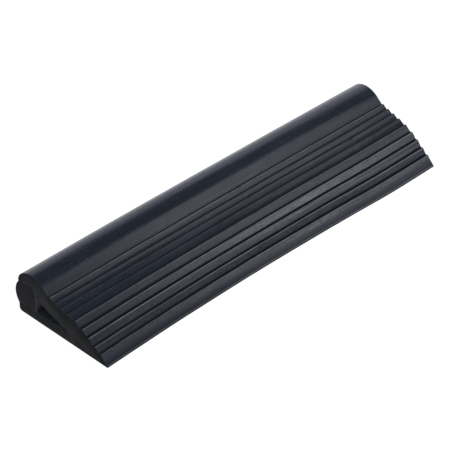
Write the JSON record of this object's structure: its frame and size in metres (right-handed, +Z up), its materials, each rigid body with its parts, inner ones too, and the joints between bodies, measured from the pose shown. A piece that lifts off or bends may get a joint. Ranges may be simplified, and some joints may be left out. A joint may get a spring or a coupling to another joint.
{
  "type": "rubber wheelchair ramp",
  "caption": "Low black rubber wheelchair ramp for a kerb or door sill: a stepped, ribbed slope with a rounded crown, hollow in section, and a bumper strip seated in its rear.",
  "frame": {"origin": "middle of the footprint, on the floor", "axes": "+X along the ramp's length, -Y towards the low front edge, +Z up"},
  "size_m": [0.9144, 0.2538, 0.1054],
  "materials": {
    "ramp_rubber": "satin black extruded rubber with lengthwise die lines and scuffs",
    "core_rubber": "matte black moulded rubber"
  },
  "bodies": {
    "root": {"ramp_body": "ramp_rubber", "rear_core_strip": "core_rubber"}
  },
  "joints": []
}
